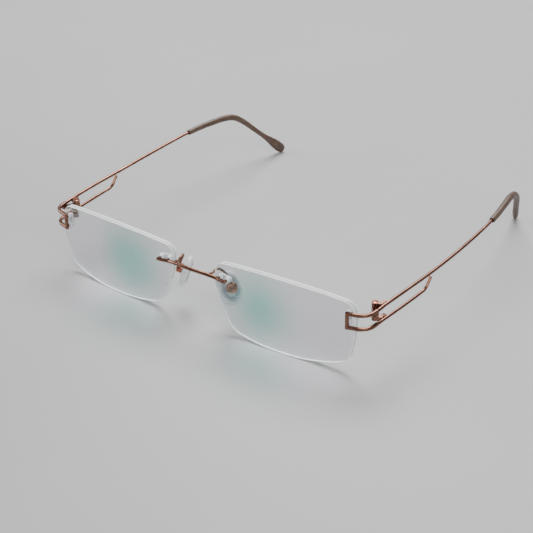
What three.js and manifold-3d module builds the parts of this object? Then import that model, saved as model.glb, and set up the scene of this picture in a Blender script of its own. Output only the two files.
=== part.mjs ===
// Rimless three-piece eyeglasses, standing open on their lens edges and temple tips.
// Millimetres, +Z up. The lenses face -Y, the temples run towards +Y, and the plane X = 0
// runs through the middle of the bridge. Left and right are the wearer's, so left is +X.
// Every paired piece is made for the left side and mirrored for the right.

import * as THREE from 'three';
import { mergeVertices } from 'three/addons/utils/BufferGeometryUtils.js';
import Module from 'manifold-3d';

const wasm = await Module();
wasm.setup();

// ---------------------------------------------------------------- driving dimensions

// The sheet that both faces of a lens follow: y = centreY + wrap * u + (u*u + v*v) / (2 * radius),
// with u and v the distances from the lens centre along X and Z.
const LENS = { centreX: 38.1, centreZ: 15.65, centreY: -3.36, wrap: 0.0712, radius: 113.7, thickness: 2.1 };

const DRILL = { pitch: 3.4, holeRadius: 1.0, barrelRadius: 0.85, boreRadius: 0.56, pinRadius: 0.42 };
const PLUG = { length: 5.6, width: 2.0, depth: 1.0, gap: 0.16 };
const BRIDGE = {
  seatX: 12.8, seatZ: 20.95, seatLength: 5.1, gap: 0.3, middleY: -3.85, middleZ: 21.7, radius: 0.65,
};

const WIRE = { upperZ: 22.9, lowerZ: 17.8, radius: 0.62 };
const END_PIECE = { barX: 61.4, section: 1.25, bevel: 0.28, armEndY: 7.5, gap: 0.06 };

const HINGE = {
  x: 65.8, y: 10.5, radius: 1.25, boreRadius: 0.6, shankRadius: 0.45,
  leafHeight: 1.6, middleLow: 19.75, middleHigh: 22.04, armLeafLow: 21.1, armLeafHigh: 22.2,
  headRadius: 0.72, sinkRadius: 0.86, sinkDepth: 0.5,
};
const TEMPLE_START_Y = 7.7;
const BRACE_KINK = [70.45, 35.0, 17.95];
const BRACE_TOP = [70.6, 38.2, 21.6];

const TIP = { start: 0.558, boreEnd: 0.86, end: 1.0, boreRadius: 0.76, wireEnd: 0.85 };

const PAD = {
  centre: [10.0, 6.1, 13.0], up: [-0.38, -0.02, 1], outwards: [0.865, -0.38, 0.323],
  length: 12.6, width: 8.8, noseFace: -1.5, backFace: 1.1,
  pocketLength: 7.0, pocketWidth: 4.4, pocketFloor: 0.2,
};
const PAD_CORE = { length: 6.4, width: 3.8, low: 0.38, high: 0.95, tabWidth: 1.3, tabLength: 2.0, tabTop: 3.0 };
const PAD_BOX = {
  radius: 1.8, low: 1.45, high: 3.8, screwOut: 2.2, rise: 0.4, roof: 0.5,
  slotWidth: 1.7, slotLength: 2.5, headSeat: 1.45, headPocket: 1.0,
};
const PAD_SCREW = { shankRadius: 0.42, holeRadius: 0.58, headRadius: 0.85, headHeight: 0.45 };
const PAD_ARM_RADIUS = 0.48;

// Colours as hexadecimal RGB.
const COPPER = new THREE.MeshStandardMaterial({ color: 0xa87058, roughness: 0.32, metalness: 1.0 });
const CLEAR = new THREE.MeshStandardMaterial({
  color: 0xdde6e4, roughness: 0.05, metalness: 0, transparent: true, opacity: 0.35,
});
const PLUG_PLASTIC = new THREE.MeshStandardMaterial({ color: 0xe9ece9, roughness: 0.35, metalness: 0 });
const SILICONE = new THREE.MeshStandardMaterial({ color: 0xdadfe0, roughness: 0.4, metalness: 0 });
const TIP_PLASTIC = new THREE.MeshStandardMaterial({ color: 0x9a7866, roughness: 0.5, metalness: 0 });

// ---------------------------------------------------------------- solids

function toSolid(geometry) {
  const bare = new THREE.BufferGeometry();
  bare.setAttribute('position', geometry.getAttribute('position').clone());
  if (geometry.index) bare.setIndex(geometry.index.clone());
  const merged = mergeVertices(bare, 1e-4);
  return new wasm.Manifold(new wasm.Mesh({
    numProp: 3,
    vertProperties: new Float32Array(merged.getAttribute('position').array),
    triVerts: new Uint32Array(merged.index.array),
  }));
}

function toGeometry(solid) {
  const mesh = solid.getMesh();
  const geometry = new THREE.BufferGeometry();
  geometry.setAttribute('position', new THREE.BufferAttribute(new Float32Array(mesh.vertProperties), 3));
  geometry.setIndex(new THREE.BufferAttribute(new Uint32Array(mesh.triVerts), 1));
  geometry.computeVertexNormals();
  return geometry;
}

function join(...geometries) {
  return toGeometry(geometries.map(toSolid).reduce((sum, solid) => sum.add(solid)));
}

function cut(geometry, ...tools) {
  return toGeometry(tools.map(toSolid).reduce((rest, tool) => rest.subtract(tool), toSolid(geometry)));
}

function mirrored(geometry) {
  const copy = toGeometry(toSolid(geometry));
  copy.scale(-1, 1, 1);
  const index = copy.index.array;
  for (let i = 0; i < index.length; i += 3) {
    [index[i], index[i + 1]] = [index[i + 1], index[i]];
  }
  copy.computeVertexNormals();
  return copy;
}

// A closed skin over a stack of rings with equal point counts, capped at both ends by a fan.
function loft(rings) {
  const count = rings[0].length;
  const points = rings.flat();
  for (const ring of [rings[0], rings[rings.length - 1]]) {
    const middle = new THREE.Vector3();
    ring.forEach((point) => middle.addScaledVector(point, 1 / count));
    points.push(middle);
  }
  const [firstCap, lastCap] = [points.length - 2, points.length - 1];
  const faces = [];
  for (let i = 0; i < count; i++) {
    const next = (i + 1) % count;
    faces.push(firstCap, next, i);
    const lastStart = (rings.length - 1) * count;
    faces.push(lastCap, lastStart + i, lastStart + next);
    for (let r = 0; r + 1 < rings.length; r++) {
      const [a, b] = [r * count + i, r * count + next];
      faces.push(a, b, a + count, b, b + count, a + count);
    }
  }
  const geometry = new THREE.BufferGeometry().setFromPoints(points);
  geometry.setIndex(isInsideOut(points, faces) ? faces.reverse() : faces);
  geometry.computeVertexNormals();
  return geometry;
}

function isInsideOut(points, faces) {
  let volume = 0;
  const cross = new THREE.Vector3();
  for (let i = 0; i < faces.length; i += 3) {
    cross.crossVectors(points[faces[i + 1]], points[faces[i + 2]]);
    volume += points[faces[i]].dot(cross);
  }
  return volume < 0;
}

// A round wire along a curve.
function roundWire(curve, radius, steps, sides = 8) {
  const section = new THREE.Shape();
  for (let i = 0; i < sides; i++) {
    const angle = (2 * Math.PI * (i + 0.5)) / sides;
    const place = [radius * Math.cos(angle), radius * Math.sin(angle)];
    if (i === 0) section.moveTo(...place);
    else section.lineTo(...place);
  }
  return new THREE.ExtrudeGeometry(section, { steps, extrudePath: curve, bevelEnabled: false });
}

// A flat plate cut from a shape in X and Y, from one height to another along Z.
function plate(shape, low, high) {
  const options = { depth: high - low, bevelEnabled: false, curveSegments: 3 };
  const geometry = new THREE.ExtrudeGeometry(shape, options);
  return geometry.translate(0, 0, low);
}

function rodAlongY(radius, fromY, toY, x = 0, z = 0, sides = 12) {
  const rod = new THREE.CylinderGeometry(radius, radius, toY - fromY, sides);
  return rod.translate(x, (fromY + toY) / 2, z);
}

function rodAlongZ(radius, fromZ, toZ, x = 0, y = 0, sides = 14) {
  const rod = new THREE.CylinderGeometry(radius, radius, toZ - fromZ, sides).rotateX(Math.PI / 2);
  return rod.translate(x, y, (fromZ + toZ) / 2);
}

function block(x, y, z) {
  const size = [x[1] - x[0], y[1] - y[0], z[1] - z[0]];
  return new THREE.BoxGeometry(...size).translate((x[0] + x[1]) / 2, (y[0] + y[1]) / 2, (z[0] + z[1]) / 2);
}

function stadium(length, width) {
  const half = length / 2 - width / 2;
  const shape = new THREE.Shape();
  shape.absarc(half, 0, width / 2, -Math.PI / 2, Math.PI / 2);
  shape.absarc(-half, 0, width / 2, Math.PI / 2, (3 * Math.PI) / 2);
  return shape;
}

function oval(length, width, sides = 20) {
  const points = [];
  for (let i = 0; i < sides; i++) {
    const angle = (2 * Math.PI * i) / sides;
    points.push(new THREE.Vector2((width / 2) * Math.cos(angle), (length / 2) * Math.sin(angle)));
  }
  return new THREE.Shape(points);
}

// Part of a curve, from one fraction of its length to another.
class Stretch extends THREE.Curve {
  constructor(base, from, to) {
    super();
    Object.assign(this, { base, from, to });
  }

  getPoint(t, target = new THREE.Vector3()) {
    return this.base.getPointAt(this.from + t * (this.to - this.from), target);
  }
}

const curveThrough = (points) => new THREE.CatmullRomCurve3(points.map((p) => new THREE.Vector3(...p)));

// ---------------------------------------------------------------- lenses

function frontFaceY(x, z) {
  const u = x - LENS.centreX;
  const v = z - LENS.centreZ;
  return LENS.centreY + LENS.wrap * u + (u * u + v * v) / (2 * LENS.radius);
}

// The place on a lens's front face, and the turn that lays local X along the face and local Y
// straight back through the lens.
function lensSeat(x, z) {
  const slope = LENS.wrap + (x - LENS.centreX) / LENS.radius;
  const turn = new THREE.Matrix4().makeRotationZ(Math.atan(slope));
  return turn.setPosition(x, frontFaceY(x, z), z);
}

const BRIDGE_SEAT = lensSeat(BRIDGE.seatX, BRIDGE.seatZ);
const END_PIECE_SEAT = lensSeat(END_PIECE.barX, (WIRE.upperZ + WIRE.lowerZ) / 2);

// Seen from the front: a long top arc, a narrower chin towards the nose, and a short flat at
// the lowest point, where the ground edge stands on the table.
function lensOutline() {
  const shape = new THREE.Shape();
  shape.moveTo(39.5, 0);
  shape.lineTo(35.5, 0);
  shape.bezierCurveTo(29, 0, 23.5, 0.5, 18.8, 1.5);
  shape.quadraticCurveTo(15.7, 2.3, 14.2, 5.4);
  shape.bezierCurveTo(11.2, 10.6, 9.0, 16.4, 9.0, 22.4);
  shape.quadraticCurveTo(9.2, 26.2, 13.3, 26.9);
  shape.bezierCurveTo(27, 29.45, 47, 29.45, 60.0, 26.6);
  shape.quadraticCurveTo(63.6, 25.6, 63.85, 21.8);
  shape.bezierCurveTo(64.15, 17, 63.5, 11.5, 62.3, 6.9);
  shape.quadraticCurveTo(61.6, 3.9, 58.6, 2.75);
  shape.bezierCurveTo(53, 0.8, 45.5, 0, 39.5, 0);
  return shape.getPoints(6).slice(1);
}

function drillHoles(seat, alongX) {
  return [-0.5, 0.5].map((half) => {
    const shift = half * DRILL.pitch;
    const hole = rodAlongY(DRILL.holeRadius, -1, LENS.thickness + 1, alongX ? shift : 0, alongX ? 0 : shift);
    return hole.applyMatrix4(seat);
  });
}

function lens() {
  const outline = lensOutline();
  const ring = (scale, depth) => outline.map((p) => {
    const x = LENS.centreX + (p.x - LENS.centreX) * scale;
    const z = LENS.centreZ + (p.y - LENS.centreZ) * scale;
    return new THREE.Vector3(x, frontFaceY(x, z) + depth, z);
  });
  const scales = [0.3, 0.58, 0.82, 1];
  const front = scales.map((scale) => ring(scale, 0));
  const back = scales.map((scale) => ring(scale, LENS.thickness)).reverse();
  const blank = loft([...front, ...back]);
  return cut(blank, ...drillHoles(BRIDGE_SEAT, true), ...drillHoles(END_PIECE_SEAT, false));
}

// ---------------------------------------------------------------- plugs and pins

// A double plug: two barrels that line the drilled holes, joined by a bar behind the lens.
function doublePlug(seat, alongX) {
  const back = LENS.thickness + PLUG.gap;
  const bar = plate(stadium(PLUG.length, PLUG.width), -back - PLUG.depth, -back).rotateX(Math.PI / 2);
  const barrels = [];
  const bores = [];
  for (const half of [-0.5, 0.5]) {
    const shift = half * DRILL.pitch;
    barrels.push(rodAlongY(DRILL.barrelRadius, 0.25, back + 0.2, shift));
    bores.push(rodAlongY(DRILL.boreRadius, 0, back + PLUG.depth + 1, shift));
  }
  const plug = cut(join(bar, ...barrels), ...bores);
  if (!alongX) plug.rotateY(Math.PI / 2);
  return plug.applyMatrix4(seat);
}

function pins(seat, alongX) {
  return [-0.5, 0.5].map((half) => {
    const shift = half * DRILL.pitch;
    const reach = LENS.thickness + PLUG.gap + PLUG.depth - 0.1;
    const pin = rodAlongY(DRILL.pinRadius, -0.5, reach, alongX ? shift : 0, alongX ? 0 : shift, 10);
    return pin.applyMatrix4(seat);
  });
}

// ---------------------------------------------------------------- bridge

function bridge() {
  const seatPoint = (along) => {
    const point = new THREE.Vector3(along, -BRIDGE.radius - BRIDGE.gap, 0).applyMatrix4(BRIDGE_SEAT);
    return point.toArray();
  };
  const outer = seatPoint(BRIDGE.seatLength / 2);
  const seat = seatPoint(0);
  const inner = seatPoint(-BRIDGE.seatLength / 2);
  const neck = [7.4, -3.25, 21.4];
  const half = [outer, seat, inner, neck];
  const other = half.map(([x, y, z]) => [-x, y, z]).reverse();
  const curve = curveThrough([...half, [0, BRIDGE.middleY, BRIDGE.middleZ], ...other]);
  const wire = roundWire(curve, BRIDGE.radius, 30);
  const leftPins = pins(BRIDGE_SEAT, true);
  return join(wire, ...leftPins, ...leftPins.map(mirrored));
}

// ---------------------------------------------------------------- end pieces

// The plan of an arm: out along the lens face, round the corner and back to the hinge.
function armPlan() {
  const start = new THREE.Vector3(0, -END_PIECE.section / 2 - END_PIECE.gap, 0).applyMatrix4(END_PIECE_SEAT);
  const plan = new THREE.CurvePath();
  const [a, b, corner, c, d] = [
    [start.x, start.y], [64.7, 0.95], [67.7, 1.9], [68.35, 5.0], [68.6, END_PIECE.armEndY],
  ].map(([x, y]) => new THREE.Vector3(x, y, 0));
  plan.add(new THREE.LineCurve3(a, b));
  plan.add(new THREE.QuadraticBezierCurve3(b, corner, c));
  plan.add(new THREE.LineCurve3(c, d));
  return plan;
}

// Rings of a square section with bevelled corners, standing upright along a curve.
function squareWire(curve, steps) {
  const half = END_PIECE.section / 2;
  const short = half - END_PIECE.bevel;
  const section = [
    [half, -short], [half, short], [short, half], [-short, half],
    [-half, short], [-half, -short], [-short, -half], [short, -half],
  ];
  const rings = [];
  for (let i = 0; i <= steps; i++) {
    const point = curve.getPointAt(i / steps);
    const tangent = curve.getTangentAt(i / steps);
    const side = new THREE.Vector3(tangent.y, -tangent.x, 0).normalize();
    const up = new THREE.Vector3().crossVectors(side, tangent);
    rings.push(section.map(([s, u]) => point.clone().addScaledVector(side, s).addScaledVector(up, u)));
  }
  return loft(rings);
}

function endPiece() {
  const arms = [WIRE.upperZ, WIRE.lowerZ].map((z) => squareWire(armPlan(), 14).translate(0, 0, z));
  const half = END_PIECE.section / 2;
  const short = half - END_PIECE.bevel;
  const corners = [[-half, -short], [-short, -half], [half, -half], [half, half], [-half, half]];
  const shape = new THREE.Shape(corners.map(([x, y]) => new THREE.Vector2(x, y)));
  const reach = (WIRE.upperZ - WIRE.lowerZ) / 2 + half;
  const bar = plate(shape, -reach, reach).translate(0, -half - END_PIECE.gap, 0).applyMatrix4(END_PIECE_SEAT);
  return join(bar, ...arms, ...pins(END_PIECE_SEAT, false));
}

// ---------------------------------------------------------------- hinges

const plan = (outline) => new THREE.Shape(outline.map(([x, y]) => new THREE.Vector2(x, y)));

// A barrel round the hinge axis with a leaf that is as high as the barrel or lower.
function knuckle(outline, low, high, leafLow = low) {
  const barrel = rodAlongZ(HINGE.radius, low, high, HINGE.x, HINGE.y);
  const leaf = plate(plan(outline), leafLow, high);
  const bore = rodAlongZ(HINGE.boreRadius, low - 1, high + 1, HINGE.x, HINGE.y);
  return cut(join(barrel, leaf), bore);
}

// The front half: the middle knuckle, on a leaf that is soldered under the end of the upper arm.
function hingeFront() {
  const outline = [
    [67.7, 5.6], [68.95, 5.6], [69.1, 7.4], [67.3, 10.2], [66.3, 11.4], [64.9, 9.9], [66.3, 8.2],
  ];
  const leaf = knuckle(outline, HINGE.middleLow, HINGE.middleHigh, HINGE.armLeafLow);
  const seat = [[67.75, 5.7], [68.9, 5.7], [69.0, 7.4], [67.9, 7.4]];
  return join(leaf, plate(plan(seat), HINGE.armLeafLow, HINGE.armLeafHigh));
}

// A temple knuckle is soldered to the inner side of one temple wire.
function templeKnuckle(z, isUpper) {
  const [low, high] = [z - HINGE.leafHeight / 2, z + HINGE.leafHeight / 2];
  const outline = [
    [65.3, 9.4], [67.1, 9.9], [68.0, 10.3], [68.1, 13.2], [67.3, 13.2], [67.1, 11.7], [65.1, 11.5],
  ];
  const leaf = knuckle(outline, low, high);
  if (!isUpper) return leaf;
  return cut(leaf, rodAlongZ(HINGE.sinkRadius, high - HINGE.sinkDepth, high + 1, HINGE.x, HINGE.y));
}

function hingeScrew() {
  const top = WIRE.upperZ + HINGE.leafHeight / 2 + 0.05;
  const bottom = WIRE.lowerZ - HINGE.leafHeight / 2;
  const seat = top - HINGE.sinkDepth + 0.1;
  const shank = rodAlongZ(HINGE.shankRadius, bottom, seat + 0.1, HINGE.x, HINGE.y, 10);
  const head = rodAlongZ(HINGE.headRadius, seat, top, HINGE.x, HINGE.y, 12);
  const slot = block([HINGE.x - 1, HINGE.x + 1], [HINGE.y - 0.14, HINGE.y + 0.14], [top - 0.2, top + 1]);
  return cut(join(shank, head), slot);
}

// ---------------------------------------------------------------- temples

// The long wire's centre line, from the hinge to the end of the ear hook.
const TEMPLE_LINE = curveThrough([
  [68.65, TEMPLE_START_Y, WIRE.upperZ], [68.95, 12.5, 23.1], [69.8, 25, 23.1],
  [70.45, 40, 22.85], [70.8, 58, 23.0], [70.6, 74, 23.35], [69.9, 86, 23.65],
  [68.4, 96, 23.75], [67.1, 103, 23.45], [66.1, 108.5, 22.2], [64.9, 113.5, 18.9],
  [61.9, 120.5, 12.0], [59.1, 126.6, 6.0], [56.8, 131.8, 0.675],
]);

function templeWire() {
  return roundWire(new Stretch(TEMPLE_LINE, 0, TIP.wireEnd), WIRE.radius, 44);
}

// The brace runs below the long wire, then turns up to meet its underside.
function braceWire() {
  const line = new THREE.CurvePath();
  const run = curveThrough([
    [68.65, TEMPLE_START_Y, WIRE.lowerZ], [68.95, 12.5, WIRE.lowerZ], [69.7, 22, 17.85], [70.3, 33, 17.9],
  ]);
  const runEnd = run.getPoint(1);
  const kink = new THREE.Vector3(...BRACE_KINK);
  const top = new THREE.Vector3(...BRACE_TOP);
  const rise = kink.clone().lerp(top, 0.3);
  line.add(run);
  line.add(new THREE.QuadraticBezierCurve3(runEnd, kink, rise));
  line.add(new THREE.LineCurve3(rise, top));
  return roundWire(line, WIRE.radius * 0.94, 26);
}

// The tip's half thickness across and half height, at a fraction of the tip's length.
const TIP_SIZES = [
  [0, 0.98, 0.98], [0.012, 1.14, 1.14], [0.12, 1.2, 1.22], [0.3, 1.28, 1.32], [0.5, 1.26, 1.26],
  [0.66, 1.18, 1.06], [0.78, 1.14, 1.04], [0.83, 1.18, 1.4], [0.89, 1.22, 2.02], [0.94, 1.18, 2.12],
  [0.98, 0.9, 1.65], [1, 0.45, 0.95],
];

function tipSize(t) {
  const i = Math.max(1, TIP_SIZES.findIndex(([at]) => at >= t));
  const [from, to] = [TIP_SIZES[i - 1], TIP_SIZES[i]];
  const k = (t - from[0]) / (to[0] - from[0]);
  return [THREE.MathUtils.lerp(from[1], to[1], k), THREE.MathUtils.lerp(from[2], to[2], k)];
}

function tipRing(fraction, across, upright, sides = 12) {
  const point = TEMPLE_LINE.getPointAt(fraction);
  const tangent = TEMPLE_LINE.getTangentAt(fraction);
  const side = new THREE.Vector3(tangent.y, -tangent.x, 0).normalize();
  const up = new THREE.Vector3().crossVectors(side, tangent);
  const ring = [];
  for (let i = 0; i < sides; i++) {
    const angle = (2 * Math.PI * (i + 0.5)) / sides;
    const place = point.clone().addScaledVector(side, across * Math.cos(angle));
    ring.push(place.addScaledVector(up, upright * Math.sin(angle)));
  }
  return ring;
}

// A soft sleeve over the wire: its blind bore, then its outer skin down to the paddle end.
function templeTip() {
  const rings = [];
  const boreSteps = 14;
  for (let i = boreSteps; i >= 0; i--) {
    const fraction = THREE.MathUtils.lerp(TIP.start, TIP.boreEnd, i / boreSteps);
    rings.push(tipRing(fraction, TIP.boreRadius, TIP.boreRadius));
  }
  const places = [
    0, 0.012, 0.1, 0.2, 0.28, 0.34, 0.4, 0.46, 0.52, 0.58,
    0.66, 0.76, 0.8, 0.84, 0.87, 0.9, 0.94, 0.965, 0.985, 1,
  ];
  for (const t of places) {
    rings.push(tipRing(THREE.MathUtils.lerp(TIP.start, TIP.end, t), ...tipSize(t)));
  }
  return loft(rings);
}

// ---------------------------------------------------------------- nose pads

// Local X runs across the pad towards the face, local Y up along it and local Z outwards,
// away from the nose.
function padFrame() {
  const up = new THREE.Vector3(...PAD.up).normalize();
  const across = new THREE.Vector3(...PAD.outwards).cross(up).negate().normalize();
  const outwards = new THREE.Vector3().crossVectors(across, up);
  return new THREE.Matrix4().makeBasis(across, up, outwards).setPosition(...PAD.centre);
}

const PAD_FRAME = padFrame();

function ovalRing(length, width, out, sides = 20) {
  const points = oval(length, width, sides).getPoints().slice(0, sides);
  return points.map((p) => new THREE.Vector3(p.x, p.y, out));
}

// The pillow of the pad: full at its rim, crowned on the nose side and pocketed behind.
function nosePad() {
  const profile = [
    [0.45, PAD.noseFace], [0.78, -1.25], [0.94, -0.75], [1, -0.1],
    [0.96, 0.6], [0.84, PAD.backFace], [0.6, PAD.backFace],
  ];
  const rings = profile.map(([scale, out]) => ovalRing(PAD.length * scale, PAD.width * scale, out));
  const pocket = plate(oval(PAD.pocketLength, PAD.pocketWidth), PAD.pocketFloor, PAD.backFace + 1);
  return cut(loft(rings), pocket).applyMatrix4(PAD_FRAME);
}

// The stiffener in the pad's pocket, with the tab that the box's screw passes through.
function padCore() {
  const base = plate(oval(PAD_CORE.length, PAD_CORE.width, 16), PAD_CORE.low, PAD_CORE.high);
  const tab = block(
    [-PAD_CORE.tabWidth / 2, PAD_CORE.tabWidth / 2],
    [PAD_BOX.rise - PAD_CORE.tabLength / 2, PAD_BOX.rise + PAD_CORE.tabLength / 2],
    [PAD_CORE.high - 0.2, PAD_CORE.tabTop],
  );
  return cut(join(base, tab), padScrewRod(PAD_SCREW.holeRadius, -3, 3, 12)).applyMatrix4(PAD_FRAME);
}

function padScrewRod(radius, from, to, sides) {
  const rod = new THREE.CylinderGeometry(radius, radius, to - from, sides).rotateZ(Math.PI / 2);
  return rod.translate((from + to) / 2, PAD_BOX.rise, PAD_BOX.screwOut);
}

// A round cup, open towards the pad, with a slot for the tab and a pocket for the screw's head.
function padBox() {
  const profile = [
    [PAD_BOX.low, 0.94], [PAD_BOX.low + 0.15, 1], [3.1, 1], [3.48, 0.86], [3.7, 0.64], [PAD_BOX.high, 0.36],
  ];
  const diameter = 2 * PAD_BOX.radius;
  const body = loft(profile.map(([out, share]) => ovalRing(diameter * share, diameter * share, out)));
  body.translate(0, PAD_BOX.rise, 0);
  const slot = block(
    [-PAD_BOX.slotWidth / 2, PAD_BOX.slotWidth / 2],
    [PAD_BOX.rise - PAD_BOX.slotLength / 2, PAD_BOX.rise + PAD_BOX.slotLength / 2],
    [PAD_BOX.low - 1, PAD_BOX.high - PAD_BOX.roof],
  );
  const hole = padScrewRod(PAD_SCREW.holeRadius, -3, 3, 12);
  const pocket = padScrewRod(PAD_BOX.headPocket, -3, -PAD_BOX.headSeat, 16);
  return cut(body, slot, hole, pocket).applyMatrix4(PAD_FRAME);
}

function padScrew() {
  const headTo = -PAD_BOX.headSeat - 0.06;
  const headFrom = headTo - PAD_SCREW.headHeight;
  const shank = padScrewRod(PAD_SCREW.shankRadius, headFrom + 0.1, PAD_BOX.radius - 0.1, 10);
  const head = padScrewRod(PAD_SCREW.headRadius, headFrom, headTo, 12);
  const slot = block(
    [headFrom - 1, headFrom + 0.2], [PAD_BOX.rise - 0.14, PAD_BOX.rise + 0.14],
    [PAD_BOX.screwOut - 1, PAD_BOX.screwOut + 1],
  );
  return cut(join(shank, head), slot).applyMatrix4(PAD_FRAME);
}

// The arm leaves the back of the bridge wire, loops up and comes down on top of the box.
function padArm() {
  const top = PAD_BOX.rise + PAD_BOX.radius + END_PIECE.gap;
  const out = 3.0;
  const [end, above] = [new THREE.Vector3(0, top, out), new THREE.Vector3(0, top + 1.2, out)]
    .map((p) => p.applyMatrix4(PAD_FRAME).toArray());
  const curve = curveThrough([
    [7.6, -2.45, 21.35], [7.6, -1.0, 21.2], [7.7, 0.6, 21.6], [8.2, 2.4, 21.75], [9.3, 4.0, 20.4], above, end,
  ]);
  return roundWire(curve, PAD_ARM_RADIUS, 20);
}

// ---------------------------------------------------------------- assembly

const group = new THREE.Group();

function add(parent, name, geometry, material) {
  const mesh = new THREE.Mesh(geometry, material);
  mesh.name = name;
  parent.add(mesh);
}

const LEFT_PIECES = {
  lens: [lens(), CLEAR],
  bridge_plug: [doublePlug(BRIDGE_SEAT, true), PLUG_PLASTIC],
  end_piece_plug: [doublePlug(END_PIECE_SEAT, false), PLUG_PLASTIC],
  end_piece: [endPiece(), COPPER],
  hinge_front: [hingeFront(), COPPER],
  hinge_screw: [hingeScrew(), COPPER],
  upper_knuckle: [templeKnuckle(WIRE.upperZ, true), COPPER],
  lower_knuckle: [templeKnuckle(WIRE.lowerZ, false), COPPER],
  temple_wire: [templeWire(), COPPER],
  brace_wire: [braceWire(), COPPER],
  temple_tip: [templeTip(), TIP_PLASTIC],
  pad_arm: [padArm(), COPPER],
  pad_box: [padBox(), COPPER],
  pad_screw: [padScrew(), COPPER],
  pad_core: [padCore(), PLUG_PLASTIC],
  nose_pad: [nosePad(), SILICONE],
};

add(group, 'bridge', bridge(), COPPER);
for (const [name, [geometry, material]] of Object.entries(LEFT_PIECES)) {
  add(group, `left_${name}`, geometry, material);
  add(group, `right_${name}`, mirrored(geometry), material);
}

// The origin sits on the table at the middle of the whole object's box.
const box = new THREE.Box3().setFromObject(group);
group.position.y = -(box.min.y + box.max.y) / 2;

export default group;
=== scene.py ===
"""Rimless eyeglasses: the fine visual model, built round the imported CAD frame.

Shapes are drawn in millimetres in the drawing frame of the CAD source, where the bridge is near
Y = 0, for the left (+X) side. They are then mirrored for the right side, moved by the same amount
as the CAD group, and scaled to metres.
"""

import math

import bmesh
import bpy
import numpy as np
from mathutils import Matrix, Vector


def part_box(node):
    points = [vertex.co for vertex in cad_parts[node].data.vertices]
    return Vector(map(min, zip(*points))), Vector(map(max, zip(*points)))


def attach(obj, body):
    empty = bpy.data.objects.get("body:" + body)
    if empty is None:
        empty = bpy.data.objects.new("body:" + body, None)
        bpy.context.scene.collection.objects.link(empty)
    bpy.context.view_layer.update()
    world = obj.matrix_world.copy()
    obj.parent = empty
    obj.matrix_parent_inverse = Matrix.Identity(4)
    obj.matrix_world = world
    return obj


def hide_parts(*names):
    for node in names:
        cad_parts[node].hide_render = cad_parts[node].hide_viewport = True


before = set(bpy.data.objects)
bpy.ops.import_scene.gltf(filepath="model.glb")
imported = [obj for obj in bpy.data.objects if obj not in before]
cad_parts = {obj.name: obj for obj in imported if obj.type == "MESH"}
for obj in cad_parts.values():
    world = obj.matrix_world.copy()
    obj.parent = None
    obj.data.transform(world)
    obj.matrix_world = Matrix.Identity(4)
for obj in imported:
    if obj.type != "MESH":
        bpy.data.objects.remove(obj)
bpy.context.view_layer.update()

# ------------------------------------------------------------------ dimensions, as in the CAD

HINGE_X, HINGE_Y = 65.8, 10.5
UPPER_Z, LOWER_Z = 22.9, 17.8
MIDDLE_Z = (UPPER_Z + LOWER_Z) / 2
WIRE_R = 0.62
THICKNESS = 2.1
PITCH = 3.4
DRILL_R, BARREL_R, BORE_R, PIN_R = 1.0, 0.85, 0.56, 0.42
PLUG_GAP = 0.16
PLUG_LENGTH, PLUG_WIDTH, PLUG_DEPTH = 5.6, 2.0, 1.0
BAR_X = 61.4
BAR_HALF, SOLDER_GAP = 0.625, 0.06
KNUCKLE_R, KNUCKLE_BORE_R, KNUCKLE_HALF = 1.25, 0.6, 0.8
# Z of the middle knuckle's two ends and of its leaf's underside.
MIDDLE_LOW, MIDDLE_HIGH, LEAF_LOW = 19.75, 22.04, 21.1
# The CAD leaves a solder gap over the seat on that leaf. Here the seat reaches into the arm.
SEAT_HIGH = 22.32
# The sink for the hinge screw's head.
SINK_R, SINK_DEPTH = 0.86, 0.5
# A lens's front face: its middle, the slope outwards there, and the radius of its shell.
LENS_X, LENS_Z, LENS_Y, WRAP, RADIUS = 38.1, 15.65, -3.36, 0.0712, 113.7
PAD_CENTRE = (10.0, 6.1, 13.0)
PAD_LENGTH, PAD_WIDTH = 12.6, 8.8
# The cup's axis above the pad's middle, the pad screw's distance out, and the cup's radius.
PAD_RISE, SCREW_OUT, BOX_R = 0.4, 2.2, 1.8
# Where the floor of the cup's screw pocket lies, and the gap under the pad screw's head.
HEAD_SEAT, HEAD_GAP = -1.45, 0.06
PAD_ARM_R, PAD_ARM_OUT = 0.48, 3.0

X_AXIS, Y_AXIS, Z_AXIS = np.identity(3)

# The CAD group was moved along Y only. The hinge screw's axis shows by how much.
screw_low, screw_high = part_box("left_hinge_screw")
SHIFT = np.array([0.0, (screw_low.y + screw_high.y) * 500 - HINGE_Y, 0.0])


# ------------------------------------------------------------------ curves and rings (mm)


def unit(v):
    v = np.asarray(v, float)
    return v / np.linalg.norm(v)


# A pad's own axes: across it towards the face, up along it, and outwards away from the nose.
PAD_UP = unit((-0.38, -0.02, 1))
PAD_ACROSS = unit(-np.cross((0.865, -0.38, 0.323), PAD_UP))
PAD_OUT = np.cross(PAD_ACROSS, PAD_UP)


def spline(points, per=30):
    """A centripetal Catmull-Rom curve through the points, as a dense polyline."""
    p = [np.asarray(q, float) for q in points]
    p = [2 * p[0] - p[1], *p, 2 * p[-1] - p[-2]]
    out = []
    for a, b, c, d in zip(p, p[1:], p[2:], p[3:]):
        t0 = max(np.linalg.norm(a - b) ** 0.5, 1e-6)
        t1 = max(np.linalg.norm(b - c) ** 0.5, 1e-6)
        t2 = max(np.linalg.norm(c - d) ** 0.5, 1e-6)
        m1 = ((b - a) / t0 - (c - a) / (t0 + t1) + (c - b) / t1) * t1
        m2 = ((c - b) / t1 - (d - b) / (t1 + t2) + (d - c) / t2) * t1
        for k in range(per):
            t = k / per
            h = 2 * t**3 - 3 * t**2
            out.append((h + 1) * b + (t**3 - 2 * t**2 + t) * m1 - h * c + (t**3 - t**2) * m2)
    out.append(p[-2])
    return np.array(out)


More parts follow.
